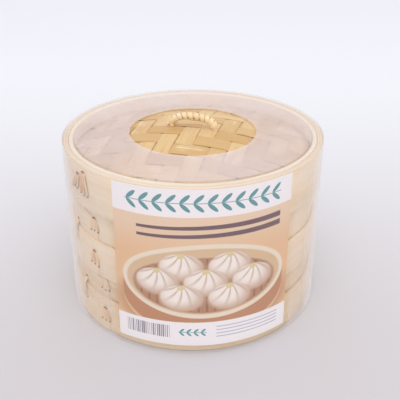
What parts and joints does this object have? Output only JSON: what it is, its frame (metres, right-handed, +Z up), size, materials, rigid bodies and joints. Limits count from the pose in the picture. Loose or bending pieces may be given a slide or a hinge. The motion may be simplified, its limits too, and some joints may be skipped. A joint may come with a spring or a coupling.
{
  "type": "bamboo steamer",
  "caption": "Stacking round bamboo steamer baskets with slatted racks and a domed woven lid with a loop handle, in a paper label and clear wrap that draw off upward.",
  "frame": {"origin": "centre of the lower basket's base, on the surface it stands on", "axes": "+Z up along the stack's axis; -Y towards the front, where the label is; +X to the viewer's right"},
  "size_m": [0.203, 0.203, 0.1517],
  "materials": {
    "bamboo_hoop": "planed bamboo, satin",
    "bamboo_slat": "planed bamboo, matt",
    "bamboo_weave": "split bamboo peel, satin",
    "bamboo_strip": "split bamboo peel, satin",
    "label_paper": "printed, coated",
    "clear_film": "clear shrink film, glossy"
  },
  "bodies": {
    "lower_basket": {"lower_skirt_hoop": "bamboo_hoop", "lower_wall_hoop": "bamboo_hoop", "lower_inner_hoop": "bamboo_hoop", "lower_batten_front": "bamboo_slat", "lower_batten_back": "bamboo_slat", "lower_slat_01": "bamboo_slat", "lower_slat_02": "bamboo_slat", "lower_slat_03": "bamboo_slat", "lower_slat_04": "bamboo_slat", "lower_slat_05": "bamboo_slat", "lower_slat_06": "bamboo_slat", "lower_slat_07": "bamboo_slat", "lower_slat_08": "bamboo_slat", "lower_slat_09": "bamboo_slat", "lower_slat_10": "bamboo_slat", "lower_slat_11": "bamboo_slat", "lower_wall_lacing": "bamboo_strip", "lower_skirt_lacing": "bamboo_strip", "lower_tie_lacing": "bamboo_strip"},
    "upper_basket": {"upper_skirt_hoop": "bamboo_hoop", "upper_wall_hoop": "bamboo_hoop", "upper_inner_hoop": "bamboo_hoop", "upper_batten_front": "bamboo_slat", "upper_batten_back": "bamboo_slat", "upper_slat_01": "bamboo_slat", "upper_slat_02": "bamboo_slat", "upper_slat_03": "bamboo_slat", "upper_slat_04": "bamboo_slat", "upper_slat_05": "bamboo_slat", "upper_slat_06": "bamboo_slat", "upper_slat_07": "bamboo_slat", "upper_slat_08": "bamboo_slat", "upper_slat_09": "bamboo_slat", "upper_slat_10": "bamboo_slat", "upper_slat_11": "bamboo_slat", "upper_wall_lacing": "bamboo_strip", "upper_skirt_lacing": "bamboo_strip", "upper_tie_lacing": "bamboo_strip"},
    "lid": {"lid_outer_hoop": "bamboo_hoop", "lid_upper_inner_hoop": "bamboo_hoop", "lid_lower_inner_hoop": "bamboo_hoop", "lid_woven_top": "bamboo_weave", "lid_woven_lining": "bamboo_weave", "lid_handle_core": "bamboo_strip", "lid_handle_wrap": "bamboo_strip", "lid_hoop_lacing_left": "bamboo_strip", "lid_hoop_lacing_right": "bamboo_strip"},
    "wrap": {"wrap_film_wall": "clear_film", "wrap_film_top": "clear_film", "wrap_label": "label_paper"}
  },
  "joints": [
    {"name": "upper_basket_lift", "type": "slide", "parent": "lower_basket", "child": "upper_basket", "axis": [0, 0, 1], "range_m": [0, 0.08]},
    {"name": "lid_lift", "type": "slide", "parent": "upper_basket", "child": "lid", "axis": [0, 0, 1], "range_m": [0, 0.08]},
    {"name": "wrap_pull_off", "type": "slide", "parent": "lid", "child": "wrap", "axis": [0, 0, 1], "range_m": [0, 0.16]}
  ]
}
